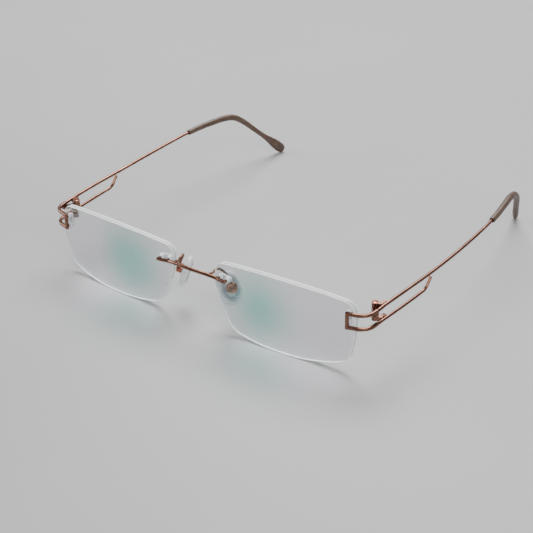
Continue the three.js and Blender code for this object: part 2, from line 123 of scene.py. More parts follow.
def bezier(points, count):
    """Points of one Bezier curve of any degree, without its first point."""
    out = []
    for k in range(1, count + 1):
        q = [np.asarray(x, float) for x in points]
        t = k / count
        while len(q) > 1:
            q = [a * (1 - t) + b * t for a, b in zip(q, q[1:])]
        out.append(q[0])
    return out


class Path:
    """A polyline that is read by its length."""

    def __init__(self, points):
        self.points = np.asarray(points, float)
        steps = np.linalg.norm(np.diff(self.points, axis=0), axis=1)
        self.at = np.concatenate([[0], np.cumsum(steps)])
        self.length = self.at[-1]

    def point(self, s):
        return np.array([np.interp(s, self.at, self.points[:, i]) for i in range(3)])

    def tangent(self, s):
        h = min(0.05, self.length / 50)
        return unit(self.point(min(s + h, self.length)) - self.point(max(s - h, 0)))


def transported(path, stations):
    """A side and an up vector at each station that turn no more than the path does."""
    frames = []
    up = Z_AXIS
    for s in stations:
        t = path.tangent(s)
        up = unit(up - (up @ t) * t)
        frames.append((np.cross(t, up), up))
    return frames


def upright(path, stations):
    """A level side vector and the up vector square to it and to the path."""
    frames = []
    for s in stations:
        t = path.tangent(s)
        side = unit([t[1], -t[0], 0])
        frames.append((side, np.cross(side, t)))
    return frames


DOME_ANGLES = (8, 22, 38, 54, 72, 90)


def stations_of(length, spacing, start_dome, end_dome, radius):
    """Distances along a wire, closer together where its ends are domed."""
    ends = [radius * (1 - math.cos(math.radians(a))) for a in DOME_ANGLES]
    stops = [0.0, 0.001 * radius, *ends] if start_dome else [0.0]
    low = radius if start_dome else 0.0
    high = length - (radius if end_dome else 0.0)
    count = max(2, int(round((high - low) / spacing)))
    stops += [low + (high - low) * k / count for k in range(1, count)]
    stops += [length - e for e in reversed(ends)] if end_dome else [length]
    return sorted(set(round(s, 5) for s in stops if 0 <= s <= length))


def dome(s, length, radius, start_dome, end_dome):
    """How much of the full radius there is at a distance along a wire with domed ends."""
    share = 1.0
    if start_dome and s < radius:
        share = math.sqrt(max(0.0, 1 - (1 - s / radius) ** 2))
    if end_dome and length - s < radius:
        share = math.sqrt(max(0.0, 1 - (1 - (length - s) / radius) ** 2))
    return max(share, 0.02)


def ellipse_ring(centre, side, up, a, b, count, power=2.0):
    """A ring of points; a power above 2 squares its corners."""
    ring = []
    for k in range(count):
        angle = 2 * math.pi * (k + 0.5) / count
        c, s = math.cos(angle), math.sin(angle)
        x = a * math.copysign(abs(c) ** (2 / power), c)
        y = b * math.copysign(abs(s) ** (2 / power), s)
        ring.append(centre + side * x + up * y)
    return np.array(ring)


# ------------------------------------------------------------------ solids (mm)


class Solid:
    """Vertices and faces in the drawing frame."""

    def __init__(self, verts, faces):
        self.verts = np.asarray(verts, float)
        self.faces = [tuple(f) for f in faces]

    def moved(self, matrix):
        m = np.asarray(matrix, float)
        return Solid(self.verts @ m[:3, :3].T + m[:3, 3], self.faces)

    def mirrored(self):
        return Solid(self.verts * [-1, 1, 1], [f[::-1] for f in self.faces])


def skin(rings):
    """A closed skin over a stack of rings, with a fan at each end."""
    rings = [np.asarray(r, float) for r in rings]
    n = len(rings[0])
    verts = [v for r in rings for v in r]
    last = (len(rings) - 1) * n
    faces = []
    for a in range(0, last, n):
        for i in range(n):
            j = (i + 1) % n
            faces.append((a + i, a + j, a + n + j, a + n + i))
    verts += [rings[0].mean(0), rings[-1].mean(0)]
    first_mid, last_mid = len(verts) - 2, len(verts) - 1
    for i in range(n):
        j = (i + 1) % n
        faces.append((first_mid, j, i))
        faces.append((last_mid, last + i, last + j))
    solid = Solid(verts, faces)
    return solid if volume(solid) > 0 else Solid(solid.verts, [f[::-1] for f in solid.faces])


def volume(solid):
    total = 0.0
    for f in solid.faces:
        a = solid.verts[f[0]]
        for i in range(1, len(f) - 1):
            total += a @ np.cross(solid.verts[f[i]], solid.verts[f[i + 1]])
    return total


def wire(path, radius, sides, spacing, start_dome=True, end_dome=True):
    """A round wire along a path."""
    stops = stations_of(path.length, spacing, start_dome, end_dome, radius)
    rings = []
    for s, (side, up) in zip(stops, transported(path, stops)):
        r = radius * dome(s, path.length, radius, start_dome, end_dome)
        rings.append(ellipse_ring(path.point(s), side, up, r, r, sides))
    return skin(rings)


def turned(profile, sides, along):
    """A solid of revolution from (distance along, radius) pairs."""
    rings = []
    for s, r in profile:
        angles = [2 * math.pi * k / sides for k in range(sides)]
        if along == "y":
            rings.append([(r * math.cos(a), s, r * math.sin(a)) for a in angles])
        elif along == "z":
            rings.append([(r * math.cos(a), r * math.sin(a), s) for a in angles])
        else:
            rings.append([(s, r * math.cos(a), r * math.sin(a)) for a in angles])
    return skin(rings)


def rod(radius, low, high, along="y", bevel=0.0, sides=32):
    """A round bar with eased ends."""
    if not bevel:
        return turned([(low, radius), (high, radius)], sides, along)
    profile = [(low + bevel * (1 - math.cos(a)), radius - bevel * (1 - math.sin(a)))
               for a in np.radians([0, 22, 45, 68, 90])]
    top = [(high - (s - low), r) for s, r in reversed(profile)]
    return turned(profile + top, sides, along)


def prism(outline, low, high):
    """An upright plate with this outline in X and Y."""
    rings = [[(x, y, z) for x, y in outline] for z in (low, high)]
    return skin(rings)


def cuboid(x, y, z):
    return prism([(x[0], y[0]), (x[1], y[0]), (x[1], y[1]), (x[0], y[1])], z[0], z[1])


def stadium(length, width, count=12):
    """Points of a slot outline, long in its first direction."""
    half = length / 2 - width / 2
    points = []
    for k in range(count + 1):
        a = -math.pi / 2 + math.pi * k / count
        points.append((half + width / 2 * math.cos(a), width / 2 * math.sin(a)))
    for k in range(count + 1):
        a = math.pi / 2 + math.pi * k / count
        points.append((-half + width / 2 * math.cos(a), width / 2 * math.sin(a)))
    return points


def place(origin, x_axis, y_axis, z_axis):
    m = np.identity(4)
    m[:3, 0], m[:3, 1], m[:3, 2], m[:3, 3] = x_axis, y_axis, z_axis, origin
    return m


def offset(x, y, z):
    """A move without a turn."""
    return place((x, y, z), X_AXIS, Y_AXIS, Z_AXIS)


def temp_object(solid):
    mesh = bpy.data.meshes.new("temp")
    mesh.from_pydata(solid.verts.tolist(), [], solid.faces)
    obj = bpy.data.objects.new("temp", mesh)
    bpy.context.scene.collection.objects.link(obj)
    return obj


def solid_of(obj):
    bpy.context.view_layer.update()
    depsgraph = bpy.context.evaluated_depsgraph_get()
    mesh = obj.evaluated_get(depsgraph).to_mesh()
    verts = [tuple(v.co) for v in mesh.vertices]
    faces = [tuple(p.vertices) for p in mesh.polygons]
    return Solid(verts, faces)


def discard(*objects):
    for obj in objects:
        mesh = obj.data
        bpy.data.objects.remove(obj)
        bpy.data.meshes.remove(mesh)


def combine(base, tools, operation):
    """The exact boolean of a solid with each tool in turn."""
    obj = temp_object(base)
    others = [temp_object(t) for t in tools]
    for other in others:
        mod = obj.modifiers.new("cut", "BOOLEAN")
        mod.operation = operation
        mod.solver = "EXACT"
        mod.object = other
    result = solid_of(obj)
    discard(obj, *others)
    return result


def join(base, *tools):
    return combine(base, tools, "UNION")


def cut(base, *tools):
    return combine(base, tools, "DIFFERENCE")


def eased(solid, width, segments=2):
    """The same solid with its sharp edges rounded."""
    obj = temp_object(solid)
    mod = obj.modifiers.new("ease", "BEVEL")
    mod.width = width
    mod.segments = segments
    mod.limit_method = "ANGLE"
    mod.angle_limit = math.radians(40)
    mod.use_clamp_overlap = True
    mod.miter_outer = "MITER_ARC"
    result = solid_of(obj)
    discard(obj)
    return result


# ------------------------------------------------------------------ materials


def tree_of(name):
    mat = bpy.data.materials.new(name)
    mat.use_nodes = True
    nodes, links = mat.node_tree.nodes, mat.node_tree.links
    shader = nodes["Principled BSDF"]
    coords = nodes.new("ShaderNodeTexCoord").outputs["Object"]
    return mat, nodes, links, shader, coords


def noise(nodes, links, coords, scale, detail=3.0, rough=0.55, stretch=None):
    if stretch:
        mapping = nodes.new("ShaderNodeMapping")
        mapping.inputs["Scale"].default_value = stretch
        links.new(coords, mapping.inputs["Vector"])
        coords = mapping.outputs["Vector"]
    tex = nodes.new("ShaderNodeTexNoise")
    tex.inputs["Scale"].default_value = scale
    tex.inputs["Detail"].default_value = detail
    tex.inputs["Roughness"].default_value = rough
    links.new(coords, tex.inputs["Vector"])
    return tex.outputs["Fac"]


def ramp(nodes, links, value, stops):
    node = nodes.new("ShaderNodeValToRGB")
    elements = node.color_ramp.elements
    while len(elements) < len(stops):
        elements.new(0.5)
    for element, (at, colour) in zip(elements, stops):
        element.position = at
        element.color = (*colour, 1)
    links.new(value, node.inputs["Fac"])
    return node.outputs["Color"]


def spread(nodes, links, value, low, high):
    node = nodes.new("ShaderNodeMapRange")
    node.inputs["From Min"].default_value = 0.3
    node.inputs["From Max"].default_value = 0.7
    node.inputs["To Min"].default_value = low
    node.inputs["To Max"].default_value = high
    links.new(value, node.inputs["Value"])
    return node.outputs["Result"]


def mix_colours(nodes, links, factor, a, b, blend="MIX"):
    node = nodes.new("ShaderNodeMix")
    node.data_type = "RGBA"
    node.blend_type = blend
    for name, value in (("Factor", factor), ("A", a), ("B", b)):
        socket = node.inputs[name]
        if isinstance(value, (int, float)):
            socket.default_value = value
        elif isinstance(value, tuple):
            socket.default_value = (*value, 1)
        else:
            links.new(value, socket)
    return node.outputs["Result"]


def bump(nodes, links, shader, height, strength, distance):
    node = nodes.new("ShaderNodeBump")
    node.inputs["Strength"].default_value = strength
    node.inputs["Distance"].default_value = distance
    links.new(height, node.inputs["Height"])
    links.new(node.outputs["Normal"], shader.inputs["Normal"])


def math_node(nodes, links, operation, *values):
    node = nodes.new("ShaderNodeMath")
    node.operation = operation
    for socket, value in zip(node.inputs, values):
        if isinstance(value, (int, float)):
            socket.default_value = value
        else:
            links.new(value, socket)
    return node.outputs[0]


def folded(nodes, links, coords):
    """The coordinates with X made positive, so that one formula fits both halves."""
    parts = nodes.new("ShaderNodeSeparateXYZ")
    links.new(coords, parts.inputs["Vector"])
    x, y, z = parts.outputs
    return math_node(nodes, links, "ABSOLUTE", x), y, z


def copper(name, dark, mid, light, gloss):
    """Rose-copper plating: slow colour drift, duller specks, uneven gloss and a fine grain."""
    mat, nodes, links, shader, coords = tree_of(name)
    drift = noise(nodes, links, coords, 90, 3)
    speck = noise(nodes, links, coords, 900, 3)
    base = ramp(nodes, links, drift, [(0.3, dark), (0.52, mid), (0.72, light)])
    worn = ramp(nodes, links, speck, [(0.35, (0.84, 0.82, 0.80)), (0.6, (1, 1, 1))])
    links.new(mix_colours(nodes, links, 0.45, base, worn, "MULTIPLY"), shader.inputs["Base Color"])
    links.new(spread(nodes, links, noise(nodes, links, coords, 350, 4), gloss - 0.05, gloss + 0.07),
              shader.inputs["Roughness"])
    shader.inputs["Metallic"].default_value = 1.0
    bump(nodes, links, shader, noise(nodes, links, coords, 2600, 2), 0.05, 0.00002)
    return mat


COPPER = copper(
    "copper_wire", (0.165, 0.077, 0.052), (0.240, 0.118, 0.082), (0.33, 0.172, 0.128), 0.23)
COPPER_DULL = copper(
    "copper_fittings", (0.150, 0.069, 0.047), (0.225, 0.108, 0.076), (0.31, 0.160, 0.118), 0.28)
# A lit copy of the copper, brighter and redder: a painted highlight on the screw heads and pad
# cups, and brightened against the lens tint over the cups.
COPPER_PAINTED_HIGHLIGHT = copper(
    "copper_painted_highlight", (0.40, 0.125, 0.072), (0.56, 0.20, 0.122), (0.76, 0.33, 0.225), 0.15)


def let_light_through(nodes, links, shader, tint):
    """Lamps shine through the material, tinted, so that what stands behind glass is lit."""
    clear = nodes.new("ShaderNodeBsdfTransparent")
    links.new(tint, clear.inputs["Color"])
    mix = nodes.new("ShaderNodeMixShader")
    links.new(nodes.new("ShaderNodeLightPath").outputs["Is Shadow Ray"], mix.inputs[0])
    links.new(shader.outputs["BSDF"], mix.inputs[1])
    links.new(clear.outputs["BSDF"], mix.inputs[2])
    links.new(mix.outputs["Shader"], nodes["Material Output"].inputs["Surface"])


# The teal patch of a lens, a painted reflection of its coating, in metres: its centre in |X| and Z,
# and where it starts and stops fading.
REFLECTION_CENTRE = (0.0285, 0.0155, 0)
REFLECTION_INNER, REFLECTION_OUTER = 0.003, 0.0215


def lens_face_material():
    """Clear coated plastic: a teal patch, a painted reflection of the coating, that fades into a
    faint lilac towards the rim.
    """
    mat, nodes, links, shader, coords = tree_of("lens_clear")
    x, _, z = folded(nodes, links, coords)
    flat = nodes.new("ShaderNodeCombineXYZ")
    links.new(x, flat.inputs["X"])
    links.new(z, flat.inputs["Y"])
    away = nodes.new("ShaderNodeVectorMath")
    away.operation = "DISTANCE"
    away.inputs[1].default_value = REFLECTION_CENTRE
    links.new(flat.outputs["Vector"], away.inputs[0])
    cloud = noise(nodes, links, coords, 55, 2)
    wobble = math_node(nodes, links, "MULTIPLY_ADD", cloud, 0.006, away.outputs["Value"])
    reflection_patch = nodes.new("ShaderNodeMapRange")
    reflection_patch.interpolation_type = "SMOOTHSTEP"
    reflection_patch.inputs["From Min"].default_value = REFLECTION_INNER
    reflection_patch.inputs["From Max"].default_value = REFLECTION_OUTER
    reflection_patch.inputs["To Min"].default_value = 1
    reflection_patch.inputs["To Max"].default_value = 0
    links.new(wobble, reflection_patch.inputs["Value"])
    # Painted reflection: the teal is the coating's reflection painted into the lens's colour, and
    # lamp light let through the lens takes the same tint.
    lilac, reflection_teal = (0.80, 0.79, 0.83), (0.34, 0.66, 0.59)
    colour = mix_colours(nodes, links, reflection_patch.outputs["Result"], lilac, reflection_teal)
    links.new(colour, shader.inputs["Base Color"])
    smear = noise(nodes, links, coords, 90, 4)
    links.new(spread(nodes, links, smear, 0.0, 0.02), shader.inputs["Roughness"])
    shader.inputs["Transmission Weight"].default_value = 1.0
    shader.inputs["IOR"].default_value = 1.5
    shader.inputs["Specular Tint"].default_value = (0.45, 0.95, 0.8, 1)
    let_light_through(nodes, links, shader, colour)
    return mat


def lens_edge_material():
    """The ground edge: frosted white with a greener band, faint cross grain and a slight glow.

    The band follows the depth behind the lens's front face, which front_y gives in millimetres.
    The glow stands in for light that is piped along the plastic.
    """
    mat, nodes, links, shader, coords = tree_of("lens_ground_edge")
    x, y, z = folded(nodes, links, coords)
    u = math_node(nodes, links, "SUBTRACT", x, LENS_X / 1000)
    v = math_node(nodes, links, "SUBTRACT", z, LENS_Z / 1000)
    square = math_node(nodes, links, "ADD", math_node(nodes, links, "MULTIPLY", u, u),
                       math_node(nodes, links, "MULTIPLY", v, v))
    middle_y = (LENS_Y + SHIFT[1]) / 1000
    bowl = math_node(nodes, links, "MULTIPLY_ADD", square, 1000 / (2 * RADIUS), middle_y)
    sheet = math_node(nodes, links, "MULTIPLY_ADD", u, WRAP, bowl)
    behind = math_node(nodes, links, "SUBTRACT", y, sheet)
    depth = math_node(nodes, links, "DIVIDE", behind, THICKNESS / 1000)
    white, band, fading = (0.98, 0.985, 0.975), (0.33, 0.45, 0.40), (0.50, 0.61, 0.56)
    across = ramp(nodes, links, depth, [(0.2, white), (0.32, band), (0.55, fading), (0.72, white)])
    grain = noise(nodes, links, coords, 800, 3, 0.6, (1, 0.12, 1))
    mottle = ramp(nodes, links, grain, [(0.34, (0.66, 0.70, 0.68)), (0.55, (1, 1, 1))])
    base = mix_colours(nodes, links, 0.6, across, mottle, "MULTIPLY")
    links.new(base, shader.inputs["Base Color"])
    links.new(spread(nodes, links, grain, 0.4, 0.6), shader.inputs["Roughness"])
    shader.inputs["Transmission Weight"].default_value = 0.05
    shader.inputs["IOR"].default_value = 1.5
    shader.inputs["Emission Color"].default_value = (0.95, 1.0, 0.98, 1)
    shader.inputs["Emission Strength"].default_value = 0.14
    bump(nodes, links, shader, noise(nodes, links, coords, 4200, 2), 0.15, 0.00003)
    return mat


def pad_material():
    """Clear silicone: milky grey-lilac in the middle, a painted white glow at the full rim, and a
    faint painted glow all over.
    """
    mat, nodes, links, shader, coords = tree_of("pad_silicone")
    x, y, z = folded(nodes, links, coords)
    folded_at = nodes.new("ShaderNodeCombineXYZ")
    for socket, value in zip(folded_at.inputs, (x, y, z)):
        links.new(value, socket)
    centre = (np.array(PAD_CENTRE) + SHIFT) / 1000
    squares = []
    for axis, half in ((PAD_ACROSS, PAD_WIDTH / 2), (PAD_UP, PAD_LENGTH / 2)):
        dot = nodes.new("ShaderNodeVectorMath")
        dot.operation = "DOT_PRODUCT"
        scaled = axis * 1000 / half
        dot.inputs[1].default_value = tuple(scaled)
        links.new(folded_at.outputs["Vector"], dot.inputs[0])
        local = math_node(nodes, links, "SUBTRACT", dot.outputs["Value"], float(scaled @ centre))
        squares.append(math_node(nodes, links, "MULTIPLY", local, local))
    cloud = noise(nodes, links, coords, 320, 3)
    outward = math_node(nodes, links, "SQRT", math_node(nodes, links, "ADD", *squares))
    outward = math_node(nodes, links, "MULTIPLY_ADD", cloud, 0.12, outward)
    # Painted light: the white at the full rim stands in for the light that the clear rim gathers.
    middle, shoulder, rim = (0.46, 0.46, 0.52), (0.58, 0.58, 0.64), (0.99, 0.99, 0.99)
    base = ramp(nodes, links, outward, [(0.45, middle), (0.80, shoulder), (0.90, rim)])
    links.new(base, shader.inputs["Base Color"])
    links.new(spread(nodes, links, cloud, 0.2, 0.32), shader.inputs["Roughness"])
    shader.inputs["Transmission Weight"].default_value = 0.22
    shader.inputs["IOR"].default_value = 1.41
    # Painted glow: a faint emission, though the pad is no lamp.
    shader.inputs["Emission Color"].default_value = (0.97, 0.97, 1.0, 1)
    shader.inputs["Emission Strength"].default_value = 0.02
    bump(nodes, links, shader, noise(nodes, links, coords, 900, 2), 0.1, 0.00004)
    return mat


def plastic(name, dark, light, scale, rough, transmission=0.0, ior=1.46):
    """Moulded plastic: a clouded colour, and a fine grain in its gloss and surface."""
    mat, nodes, links, shader, coords = tree_of(name)
    cloud = noise(nodes, links, coords, scale, 4)
    links.new(ramp(nodes, links, cloud, [(0.3, dark), (0.7, light)]), shader.inputs["Base Color"])
    fine = noise(nodes, links, coords, 2600, 3)
    links.new(spread(nodes, links, fine, rough - 0.06, rough + 0.08), shader.inputs["Roughness"])
    shader.inputs["Transmission Weight"].default_value = transmission
    shader.inputs["IOR"].default_value = ior
    bump(nodes, links, shader, fine, 0.12, 0.00003)
    return mat


LENS_FACE = lens_face_material()
LENS_EDGE = lens_edge_material()
PLUG = plastic("plug_white", (0.92, 0.93, 0.92), (0.99, 0.99, 0.98), 900, 0.34)
CORE = plastic("pad_core_clear", (0.88, 0.88, 0.90), (0.96, 0.96, 0.97), 700, 0.34, 0.2)
PAD = pad_material()
TIP = plastic("tip_taupe", (0.088, 0.053, 0.037), (0.135, 0.085, 0.062), 420, 0.44, ior=1.45)


# ------------------------------------------------------------------ putting pieces in the scene


def add_piece(name, solid, material, body, slot_name, nodes, smooth_angle=35, extra=None):
    """Makes the final object in metres, rides it and hides the CAD parts that it stands in for."""
    mesh = bpy.data.meshes.new(name)
    mesh.from_pydata(((solid.verts + SHIFT) / 1000).tolist(), [], solid.faces)
    mesh.validate()
    bm = bmesh.new()
    bm.from_mesh(mesh)
    bmesh.ops.recalc_face_normals(bm, faces=bm.faces)
    bm.to_mesh(mesh)
    bm.free()
    mesh.shade_smooth()
    mesh.set_sharp_from_angle(angle=math.radians(smooth_angle))
    mesh.materials.append(material)
    obj = bpy.data.objects.new(name, mesh)
    bpy.context.scene.collection.objects.link(obj)
    if extra:
        extra(obj)
    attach(obj, body)
    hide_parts(*nodes)


def add_pair(name, solid, material, body, slot_name, **options):
    """A left piece and its mirror image. A body called temple or pad has one of each."""
    for side, shape in (("left", solid), ("right", solid.mirrored())):
        rides = body if body == "front" else f"{side}_{body}"
        node = f"{side}_{name}"
        add_piece(f"{node}_fine", shape, material, rides, slot_name, [node], **options)


# ------------------------------------------------------------------ lenses


def front_y(x, z):
    u, v = x - LENS_X, z - LENS_Z
    return LENS_Y + WRAP * u + (u * u + v * v) / (2 * RADIUS)


def lens_seat(x, z):
    """Local X along the lens face, local Y straight back through it."""
    slope = WRAP + (x - LENS_X) / RADIUS
    a = math.atan(slope)
    along = (math.cos(a), math.sin(a), 0)
    back = (-math.sin(a), math.cos(a), 0)
    return place((x, front_y(x, z), z), along, back, Z_AXIS)


BRIDGE_SEAT = lens_seat(12.8, 20.95)
BAR_SEAT = lens_seat(BAR_X, MIDDLE_Z)


def lens_outline():
    runs = [
        ([(39.5, 0), (35.5, 0)], 3),
        ([(35.5, 0), (29, 0), (23.5, 0.5), (18.8, 1.5)], 14),
        ([(18.8, 1.5), (15.7, 2.3), (14.2, 5.4)], 12),
        ([(14.2, 5.4), (11.2, 10.6), (9.0, 16.4), (9.0, 22.4)], 16),
        ([(9.0, 22.4), (9.2, 26.2), (13.3, 26.9)], 12),
        ([(13.3, 26.9), (27, 29.45), (47, 29.45), (60.0, 26.6)], 32),
        ([(60.0, 26.6), (63.6, 25.6), (63.85, 21.8)], 12),
        ([(63.85, 21.8), (64.15, 17), (63.5, 11.5), (62.3, 6.9)], 14),
        ([(62.3, 6.9), (61.6, 3.9), (58.6, 2.75)], 12),
        ([(58.6, 2.75), (53, 0.8), (45.5, 0), (39.5, 0)], 18),
    ]
    points = []
    for control, count in runs:
        points += bezier(control, count)
    return np.array(points)


def inward_normals(outline):
    """Unit vectors into a closed outline that runs clockwise or anticlockwise."""
    ahead, behind = np.roll(outline, -1, axis=0), np.roll(outline, 1, axis=0)
    t = ahead - behind
    t /= np.linalg.norm(t, axis=1)[:, None]
    n = np.stack([-t[:, 1], t[:, 0]], axis=1)
    middle = outline.mean(0)
    if np.sum((middle - outline) * n) < 0:
        n = -n
    return n


def build_lens():
    outline = lens_outline()
    inward = inward_normals(outline)
    middle = np.array([LENS_X, LENS_Z])
    ease = 0.16
    rings = []

    def face_ring(scale, depth):
        inner = outline + inward * ease
        points = middle + (inner - middle) * scale
        rings.append([(x, front_y(x, z) + depth, z) for x, z in points])

    scales = [0.12, 0.3, 0.46, 0.6, 0.72, 0.82, 0.9, 0.96, 1.0]
    for scale in scales:
        face_ring(scale, 0)
    for depth in (ease, THICKNESS * 0.35, THICKNESS * 0.65, THICKNESS - ease):
        rings.append([(x, front_y(x, z) + depth, z) for x, z in outline])
    for scale in reversed(scales):
        face_ring(scale, THICKNESS)
    blank = skin(rings)
    middle_y = front_y(LENS_X, LENS_Z)
    blank.verts[-2] = (LENS_X, middle_y, LENS_Z)
    blank.verts[-1] = (LENS_X, middle_y + THICKNESS, LENS_Z)
    hole = rod(DRILL_R, -1, THICKNESS + 1, sides=40)
    holes = []
    for half in (-0.5, 0.5):
        holes.append(hole.moved(BRIDGE_SEAT @ offset(half * PITCH, 0, 0)))
        holes.append(hole.moved(BAR_SEAT @ offset(0, 0, half * PITCH)))
    return cut(blank, *holes)


FACE_TOLERANCE = 0.05


def dress_lens(obj):
    """Gives the ground edge its own material and the two faces their true, ripple-free normals."""
    mesh = obj.data
    mesh.materials.append(LENS_EDGE)
    mirror = -1 if obj.name.startswith("right") else 1
    points = np.array([v.co for v in mesh.vertices]) * 1000 - SHIFT
    x, z = points[:, 0] * mirror, points[:, 2]
    depth = points[:, 1] - front_y(x, z)
    on_front = np.abs(depth) < FACE_TOLERANCE
    on_back = np.abs(depth - THICKNESS) < FACE_TOLERANCE
    slope_x, slope_z = WRAP + (x - LENS_X) / RADIUS, (z - LENS_Z) / RADIUS
    out = np.stack([slope_x * mirror, -np.ones(len(x)), slope_z], axis=1)
    out /= np.linalg.norm(out, axis=1)[:, None]
    normals = [tuple(c.vector) for c in mesh.corner_normals]
    for poly in mesh.polygons:
        corners = list(poly.vertices)
        if all(on_front[i] for i in corners) or all(on_back[i] for i in corners):
            sign = 1 if on_front[corners[0]] else -1
            for loop, vertex in zip(poly.loop_indices, corners):
                normals[loop] = tuple(out[vertex] * sign)
        else:
            poly.material_index = 1
    mesh.normals_split_custom_set(normals)


add_pair("lens", build_lens(), LENS_FACE, "front", "lens", smooth_angle=40, extra=dress_lens)


# ------------------------------------------------------------------ plugs


def build_plug(seat, along_x):
    """Two barrels in the drilled holes and a rounded bar behind the lens."""
    back = THICKNESS + PLUG_GAP
    steps = [(0.0, 0.94), (0.06, 1.0), (PLUG_DEPTH * 0.55, 1.0), (PLUG_DEPTH * 0.82, 0.93),
             (PLUG_DEPTH * 0.95, 0.8), (PLUG_DEPTH, 0.62)]
    rings = []
    for depth, share in steps:
        inset = PLUG_WIDTH / 2 * (1 - share)
        ring = stadium(PLUG_LENGTH - 2 * inset, PLUG_WIDTH - 2 * inset)
        rings.append([(x, back + depth, z) for x, z in ring])
    bar = skin(rings)
    barrels, bores = [], []
    for half in (-0.5, 0.5):
        move = offset(half * PITCH, 0, 0)
        barrels.append(rod(BARREL_R, 0.1, back + 0.3, bevel=0.08, sides=36).moved(move))
        bores.append(rod(BORE_R, -0.5, back + PLUG_DEPTH + 1, sides=32).moved(move))
    plug = cut(join(bar, *barrels), *bores)
    if not along_x:
        plug = plug.moved(place((0, 0, 0), -Z_AXIS, Y_AXIS, X_AXIS))
    return plug.moved(seat)


add_pair("bridge_plug", build_plug(BRIDGE_SEAT, True), PLUG, "front", "plug")
add_pair("end_piece_plug", build_plug(BAR_SEAT, False), PLUG, "front", "plug")


def pins(seat, along_x):
    """The two soldered pins that run through the lens into its plug."""
    reach = THICKNESS + PLUG_GAP + PLUG_DEPTH - 0.1
    pin = rod(PIN_R, -0.6, reach, bevel=0.1, sides=24)
    shapes = []
    for half in (-0.5, 0.5):
        step = half * PITCH
        move = offset(step, 0, 0) if along_x else offset(0, 0, step)
        shapes.append(pin.moved(seat @ move))
    return shapes


# ------------------------------------------------------------------ bridge

BRIDGE_R, BRIDGE_STANDOFF = 0.65, 0.3


def seat_point(seat, x, y):
    return (np.asarray(seat) @ np.array([x, y, 0, 1]))[:3]


def build_bridge():
    depth = -BRIDGE_R - BRIDGE_STANDOFF
    half = [seat_point(BRIDGE_SEAT, x, depth) for x in (2.55, 0, -2.55)]
    half.append(np.array([7.4, -3.25, 21.4]))
    other = [p * [-1, 1, 1] for p in reversed(half)]
    path = Path(spline([*half, (0, -3.85, 21.7), *other]))
    body = wire(path, BRIDGE_R, sides=28, spacing=0.45)
    left = pins(BRIDGE_SEAT, True)
    return join(body, *left, *[p.mirrored() for p in left])


add_piece("bridge_fine", build_bridge(), COPPER, "front", "metal", ["bridge"])


# ------------------------------------------------------------------ end pieces


def arm_path():
    """The middle line of an arm in plan, from the bar round the corner to the hinge."""
    start = seat_point(BAR_SEAT, 0, -BAR_HALF - SOLDER_GAP)[:2]
    points = [start]
    points += bezier([start, (64.7, 0.95)], 10)
    points += bezier([(64.7, 0.95), (67.7, 1.9), (68.35, 5.0)], 26)
    points += bezier([(68.35, 5.0), (68.6, 7.5)], 8)
    return Path([(x, y, 0) for x, y in points])


def build_end_piece():
    path = arm_path()
    stops = np.linspace(0, path.length, 44)
    arms = []
    for z in (UPPER_Z, LOWER_Z):
        rings = []
        for s, (side, up) in zip(stops, upright(path, stops)):
            near_end = min(1.0, (path.length - s) / 0.2)
            r = BAR_HALF * (0.88 + 0.12 * near_end)
            rings.append(ellipse_ring(path.point(s) + [0, 0, z], side, up, r, r, 28, 3.2))
        arms.append(skin(rings))
    reach = (UPPER_Z - LOWER_Z) / 2 + BAR_HALF
    rings = []
    for z, r in ((-reach, 0.5), (-reach + 0.1, 0.6), (-reach + 0.22, BAR_HALF),
                 (reach - 0.22, BAR_HALF), (reach - 0.1, 0.6), (reach, 0.5)):
        centre = np.array([0, -BAR_HALF - SOLDER_GAP, z])
        rings.append(ellipse_ring(centre, X_AXIS, Y_AXIS, r, r, 32, 4))
    bar = skin(rings).moved(BAR_SEAT)
    return join(bar, *arms, *pins(BAR_SEAT, False))


add_pair("end_piece", build_end_piece(), COPPER, "front", "metal")


# ------------------------------------------------------------------ hinges


def at_hinge(solid):
    return solid.moved(offset(HINGE_X, HINGE_Y, 0))


def knuckle(outline, low, high, leaf_low=None):
    """A barrel round the hinge axis with a leaf that is as high as the barrel or lower."""
    barrel = at_hinge(rod(KNUCKLE_R, low, high, "z", sides=40))
    leaf = prism(outline, low if leaf_low is None else leaf_low, high)
    bore = at_hinge(rod(KNUCKLE_BORE_R, low - 1, high + 1, "z", sides=32))
    return cut(join(barrel, leaf), bore)


def build_hinge_front():
    """The middle knuckle, its leaf, and the seat that is soldered under the upper arm's end."""
    outline = [(67.7, 5.6), (68.95, 5.6), (69.1, 7.4), (67.3, 10.2),
               (66.3, 11.4), (64.9, 9.9), (66.3, 8.2)]
    leaf = knuckle(outline, MIDDLE_LOW, MIDDLE_HIGH, LEAF_LOW)
    seat = prism([(67.75, 5.7), (68.9, 5.7), (69.0, 7.4), (67.9, 7.4)], LEAF_LOW, SEAT_HIGH)
    return eased(join(leaf, seat), 0.16, 3)


def build_temple_knuckle(z, is_upper):
    """A knuckle whose leaf touches its wire. The upper one is sunk for the screw's head."""
    low, high = z - KNUCKLE_HALF, z + KNUCKLE_HALF
    outline = [(65.3, 9.4), (67.1, 9.9), (68.3, 10.3), (68.5, 13.2),
               (67.35, 13.2), (67.1, 11.7), (65.1, 11.5)]
    shape = knuckle(outline, low, high)
    if is_upper:
        shape = cut(shape, at_hinge(rod(SINK_R, high - SINK_DEPTH, high + 1, "z", sides=36)))
    return eased(shape, 0.18, 3)


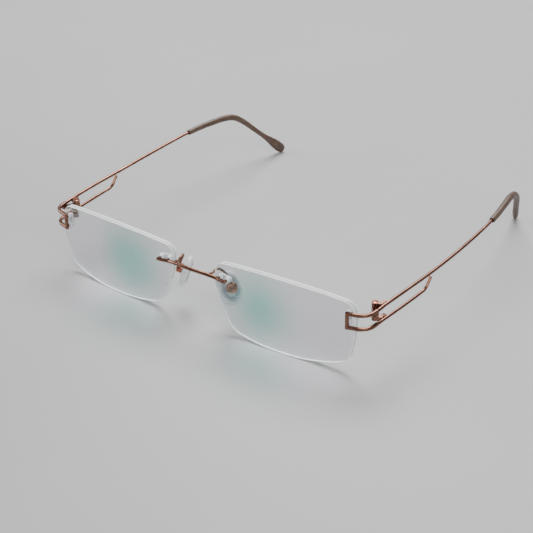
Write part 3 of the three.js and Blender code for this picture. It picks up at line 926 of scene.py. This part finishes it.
def build_hinge_screw():
    top = UPPER_Z + KNUCKLE_HALF + 0.05
    seat = top - 0.4
    bottom = LOWER_Z - KNUCKLE_HALF
    profile = [(bottom, 0.38), (bottom + 0.08, 0.45), (seat, 0.45), (seat + 0.01, 0.66),
               (seat + 0.08, 0.72), (top - 0.16, 0.72), (top - 0.07, 0.66), (top - 0.02, 0.5),
               (top, 0.2)]
    slot = cuboid((-1, 1), (-0.13, 0.13), (top - 0.2, top + 1))
    return at_hinge(cut(turned(profile, 36, "z"), slot))


add_pair("hinge_front", build_hinge_front(), COPPER_DULL, "front", "metal", smooth_angle=30)
for level, height in (("upper", UPPER_Z), ("lower", LOWER_Z)):
    shape = build_temple_knuckle(height, level == "upper")
    add_pair(f"{level}_knuckle", shape, COPPER_DULL, "temple", "metal", smooth_angle=30)
add_pair("hinge_screw", build_hinge_screw(), COPPER_PAINTED_HIGHLIGHT, "temple", "metal", smooth_angle=30)


# ------------------------------------------------------------------ temples

# The long wire's middle line, from the hinge to the end of the tip.
TEMPLE = Path(spline([
    (68.65, 7.7, UPPER_Z), (68.95, 12.5, 23.1), (69.8, 25, 23.1), (70.45, 40, 22.85),
    (70.8, 58, 23.0), (70.6, 74, 23.35), (69.9, 86, 23.65), (68.4, 96, 23.75),
    (67.1, 103, 23.45), (66.1, 108.5, 22.2), (64.9, 113.5, 18.9), (61.9, 120.5, 12.0),
    (59.1, 126.6, 6.0), (56.8, 131.8, 0.675),
]))
# Places along that line, as shares of its length.
WIRE_END, TIP_START, TIP_BORE_END = 0.85, 0.558, 0.86
TIP_BORE_R = 0.72
# The paddle's end is domed from this share of the tip's length. A power above 2 makes it fuller.
DOME_START, PADDLE_POWER = 0.935, 2.7


def build_temple_wire():
    part = Path([TEMPLE.point(TEMPLE.length * WIRE_END * k / 500) for k in range(501)])
    return wire(part, WIRE_R, start_dome=False, sides=24, spacing=0.8)


def build_brace_wire():
    """The lower wire, which turns up to meet the underside of the long one."""
    run = spline([(68.65, 7.7, LOWER_Z), (68.95, 12.5, LOWER_Z), (69.7, 22, 17.85),
                  (70.3, 33, 17.9)])
    kink, top = np.array([70.45, 35.0, 17.95]), np.array([70.6, 38.2, 21.6])
    rise = kink + (top - kink) * 0.3
    path = Path([*run, *bezier([run[-1], kink, rise], 16), *bezier([rise, top], 8)])
    return wire(path, WIRE_R * 0.94, start_dome=False, end_dome=False, sides=24, spacing=0.4)


# The tip's half thickness across and half height, at a share of the tip's length.
TIP_SIZES = np.array([
    (0, 0.98, 0.98), (0.012, 1.14, 1.14), (0.12, 1.2, 1.22), (0.3, 1.28, 1.32),
    (0.5, 1.26, 1.26), (0.66, 1.18, 1.06), (0.78, 1.14, 1.04), (0.83, 1.18, 1.4),
    (0.89, 1.22, 2.02), (0.94, 1.18, 2.12),
])


def build_tip():
    """A soft sleeve: blind bore, rounded mouth, and a paddle end."""
    def ring(fraction, a, b):
        s = fraction * TEMPLE.length
        (side, up), = upright(TEMPLE, [s])
        return ellipse_ring(TEMPLE.point(s), side, up, a, b, 36)

    bore_length = TIP_BORE_END - TIP_START
    rings = [ring(TIP_START + bore_length * k / 20, TIP_BORE_R, TIP_BORE_R)
             for k in range(20, 0, -1)]
    rings.append(ring(TIP_START + 0.0012, 0.74, 0.74))
    rings.append(ring(TIP_START, 0.86, 0.86))
    steps = [0.0, 0.004, 0.008, 0.012, 0.03, *np.linspace(0.06, 0.92, 56),
             DOME_START, 0.95, 0.962, 0.973, 0.982, 0.99, 0.996, 1.0]
    for t in steps:
        a, b = tip_size(t)
        rings.append(ring(TIP_START + (1 - TIP_START) * t, a, b))
    return skin(rings)


def tip_size(t):
    """Half sizes of the tip, smooth between the CAD's sizes and domed at the paddle's end."""
    keys, a, b = TIP_SIZES.T
    window = np.linspace(-0.03, 0.03, 9) * min(1.0, t / 0.05)
    near = np.clip(t + window, 0, 0.93)
    size_a = np.mean(np.interp(near, keys, a))
    size_b = np.mean(np.interp(near, keys, b))
    end = max(0.0, (t - DOME_START) / (1 - DOME_START))
    share = (1 - 0.97 * end**PADDLE_POWER) ** (1 / PADDLE_POWER)
    return size_a * share, size_b * share


add_pair("temple_wire", build_temple_wire(), COPPER, "temple", "metal")
add_pair("brace_wire", build_brace_wire(), COPPER, "temple", "metal")
add_pair("temple_tip", build_tip(), TIP, "temple", "tip")


# ------------------------------------------------------------------ nose pads

PAD_FRAME = place(PAD_CENTRE, PAD_ACROSS, PAD_UP, PAD_OUT)
AT_PAD_SCREW = offset(0, PAD_RISE, SCREW_OUT)


def oval(length, width, out):
    """A slightly squared oval, at a distance out from the pad's middle."""
    return ellipse_ring(np.array([0, 0, out]), X_AXIS, Y_AXIS, width / 2, length / 2, 48, 2.25)


def build_pad():
    """A clear pillow with a full rim, crowned towards the nose and pocketed behind."""
    profile = [(0.12, -1.5), (0.3, -1.49), (0.48, -1.45), (0.64, -1.36), (0.78, -1.2),
               (0.88, -0.96), (0.95, -0.65), (0.99, -0.25), (1.0, 0.1), (0.985, 0.45),
               (0.95, 0.75), (0.89, 0.98), (0.82, 1.08), (0.75, 1.1)]
    rings = [oval(PAD_LENGTH * k, PAD_WIDTH * k, out) for k, out in profile]
    rings += [oval(8.4, 5.6, 1.04), oval(7.7, 5.0, 0.86), oval(7.3, 4.65, 0.6),
              oval(7.1, 4.5, 0.36), oval(6.9, 4.3, 0.24), oval(5.0, 3.0, 0.2),
              oval(2.0, 1.4, 0.2)]
    return skin(rings).moved(PAD_FRAME)


def build_core():
    """The stiffener in the pad's pocket, with the tab that the screw runs through."""
    rings = [oval(6.1, 3.5, 0.38), oval(6.35, 3.75, 0.44), oval(6.4, 3.8, 0.6),
             oval(6.35, 3.75, 0.84), oval(6.1, 3.5, 0.95)]
    base = skin(rings)
    tab = cuboid((-0.65, 0.65), (PAD_RISE - 1, PAD_RISE + 1), (0.75, 3.0))
    hole = rod(0.58, -3, 3, "x", sides=28).moved(AT_PAD_SCREW)
    return eased(cut(join(base, tab), hole), 0.1).moved(PAD_FRAME)


def build_pad_box():
    """A round cup, open towards the pad, with a slot for the tab and a pocket for the screw."""
    profile = [(1.45, 0.93), (1.5, 0.975), (1.6, 1.0), (3.1, 1.0), (3.3, 0.955), (3.48, 0.86),
               (3.62, 0.74), (3.72, 0.6), (3.78, 0.46), (3.8, 0.3)]
    rings = []
    for out, share in profile:
        r = BOX_R * share
        rings.append(ellipse_ring(np.array([0, PAD_RISE, out]), X_AXIS, Y_AXIS, r, r, 48))
    slot = cuboid((-0.85, 0.85), (PAD_RISE - 1.25, PAD_RISE + 1.25), (0, 3.3))
    hole = rod(0.5, -3, 3, "x", sides=28).moved(AT_PAD_SCREW)
    pocket = rod(1.0, -3, HEAD_SEAT, "x", sides=36).moved(AT_PAD_SCREW)
    dimple = rod(0.4, 3.55, 5, "z", sides=28).moved(offset(0, PAD_RISE, 0))
    return eased(cut(skin(rings), slot, hole, pocket, dimple), 0.06).moved(PAD_FRAME)


def build_pad_screw():
    seat = HEAD_SEAT - HEAD_GAP
    head = seat - 0.45
    profile = [(head, 0.3), (head + 0.01, 0.6), (head + 0.08, 0.78), (head + 0.2, 0.85),
               (seat - 0.04, 0.83), (seat, 0.78), (seat + 0.01, 0.42), (1.6, 0.42), (1.7, 0.34)]
    slot = cuboid((head - 1, head + 0.2), (-0.13, 0.13), (-1, 1))
    screw = cut(turned(profile, 36, "x"), slot)
    return screw.moved(AT_PAD_SCREW).moved(PAD_FRAME)


def build_pad_arm():
    """A wire that loops back from the bridge and ends in the cup's wall, swelling at both ends."""
    top = PAD_RISE + BOX_R
    end = (PAD_FRAME @ [0, top - 0.3, PAD_ARM_OUT, 1])[:3]
    above = (PAD_FRAME @ [0, top + 1.26, PAD_ARM_OUT, 1])[:3]
    path = Path(spline([(7.6, -2.45, 21.35), (7.6, -1.0, 21.2), (7.7, 0.6, 21.6), (8.2, 2.4, 21.75),
                        (9.3, 4.0, 20.4), above, end]))
    stops = stations_of(path.length, 0.3, False, False, PAD_ARM_R)
    rings = []
    for s, (side, up) in zip(stops, transported(path, stops)):
        root = 1 + 0.2 * math.exp(-((s / 0.45) ** 2))
        foot = 1 + 0.5 * math.exp(-(((path.length - s) / 0.4) ** 2))
        r = PAD_ARM_R * max(root, foot)
        rings.append(ellipse_ring(path.point(s), side, up, r, r, 24))
    return skin(rings)


add_pair("nose_pad", build_pad(), PAD, "pad", "pad")
add_pair("pad_core", build_core(), CORE, "pad", "plug")
add_pair("pad_box", build_pad_box(), COPPER_PAINTED_HIGHLIGHT, "front", "metal", smooth_angle=30)
add_pair("pad_screw", build_pad_screw(), COPPER_PAINTED_HIGHLIGHT, "front", "metal", smooth_angle=30)
add_pair("pad_arm", build_pad_arm(), COPPER, "front", "metal")


# ------------------------------------------------------------------ floor, light and camera

# In metres. The floor lies a hair below the lenses' feet, so that no two faces coincide.
FLOOR_HALF, FLOOR_DROP = 3.0, 0.00005


def build_floor():
    size = FLOOR_HALF
    mesh = bpy.data.meshes.new("floor")
    corners = [(-size, -size, 0), (size, -size, 0), (size, size, 0), (-size, size, 0)]
    mesh.from_pydata(corners, [], [(0, 1, 2, 3)])
    floor = bpy.data.objects.new("floor", mesh)
    floor.location.z = -FLOOR_DROP
    bpy.context.scene.collection.objects.link(floor)
    mat, nodes, links, shader, coords = tree_of("floor_pale")
    cloud = noise(nodes, links, coords, 6, 3)
    pale = ramp(nodes, links, cloud, [(0.3, (0.40, 0.40, 0.405)), (0.7, (0.43, 0.43, 0.43))])
    links.new(pale, shader.inputs["Base Color"])
    shader.inputs["Roughness"].default_value = 0.5
    mesh.materials.append(mat)


def soft_light(name, place_at, look_at, size, power):
    """A rectangular lamp, in metres and watts, that isn't seen through clear plastic."""
    data = bpy.data.lights.new(name, "AREA")
    data.shape = "RECTANGLE"
    data.size, data.size_y = size
    data.energy = power
    obj = bpy.data.objects.new(name, data)
    obj.location = place_at
    obj.rotation_mode = "QUATERNION"
    obj.rotation_quaternion = (Vector(look_at) - Vector(place_at)).to_track_quat("-Z", "Y")
    obj.visible_transmission = False
    bpy.context.scene.collection.objects.link(obj)


def build_world():
    world = bpy.data.worlds.new("studio")
    world.use_nodes = True
    nodes, links = world.node_tree.nodes, world.node_tree.links
    background = nodes["Background"]
    coords = nodes.new("ShaderNodeTexCoord").outputs["Generated"]
    parts = nodes.new("ShaderNodeSeparateXYZ")
    links.new(coords, parts.inputs["Vector"])
    horizon, middle, zenith = (0.22, 0.22, 0.23), (0.45, 0.45, 0.46), (1, 1, 1)
    sky = ramp(nodes, links, parts.outputs["Z"], [(0.0, horizon), (0.4, middle), (1.0, zenith)])
    links.new(sky, background.inputs["Color"])
    background.inputs["Strength"].default_value = 0.5
    bpy.context.scene.world = world


build_floor()
build_world()
soft_light("key", (-0.25, 0.55, 0.75), (0, 0, 0), (0.7, 0.45), 13)
soft_light("fill", (0.7, -0.5, 0.6), (0, 0, 0), (0.6, 0.6), 6)
soft_light("rim", (-0.8, -0.25, 0.35), (0, 0, 0.01), (0.5, 0.3), 4)

AZIMUTH, ELEVATION, ROLL = (math.radians(d) for d in (36.397, 29.448, -1.0545))
CAMERA_AT, FOCAL_LENGTH = (257.73, -309.06, 247.08), 90.19
in_plan = math.cos(ELEVATION)
back = Vector((math.sin(AZIMUTH) * in_plan, -math.cos(AZIMUTH) * in_plan, math.sin(ELEVATION)))
right = Vector((math.cos(AZIMUTH), math.sin(AZIMUTH), 0))
up = back.cross(right)
cam_right = right * math.cos(ROLL) + up * math.sin(ROLL)
cam_up = up * math.cos(ROLL) - right * math.sin(ROLL)
camera_data = bpy.data.cameras.new("camera")
camera_data.sensor_width = 36
camera_data.lens = FOCAL_LENGTH
camera = bpy.data.objects.new("camera", camera_data)
place_mm = np.array(CAMERA_AT) + SHIFT
camera.matrix_world = Matrix((
    (cam_right.x, cam_up.x, back.x, place_mm[0] / 1000),
    (cam_right.y, cam_up.y, back.y, place_mm[1] / 1000),
    (cam_right.z, cam_up.z, back.z, place_mm[2] / 1000),
    (0, 0, 0, 1),
))
bpy.context.scene.collection.objects.link(camera)
bpy.context.scene.camera = camera
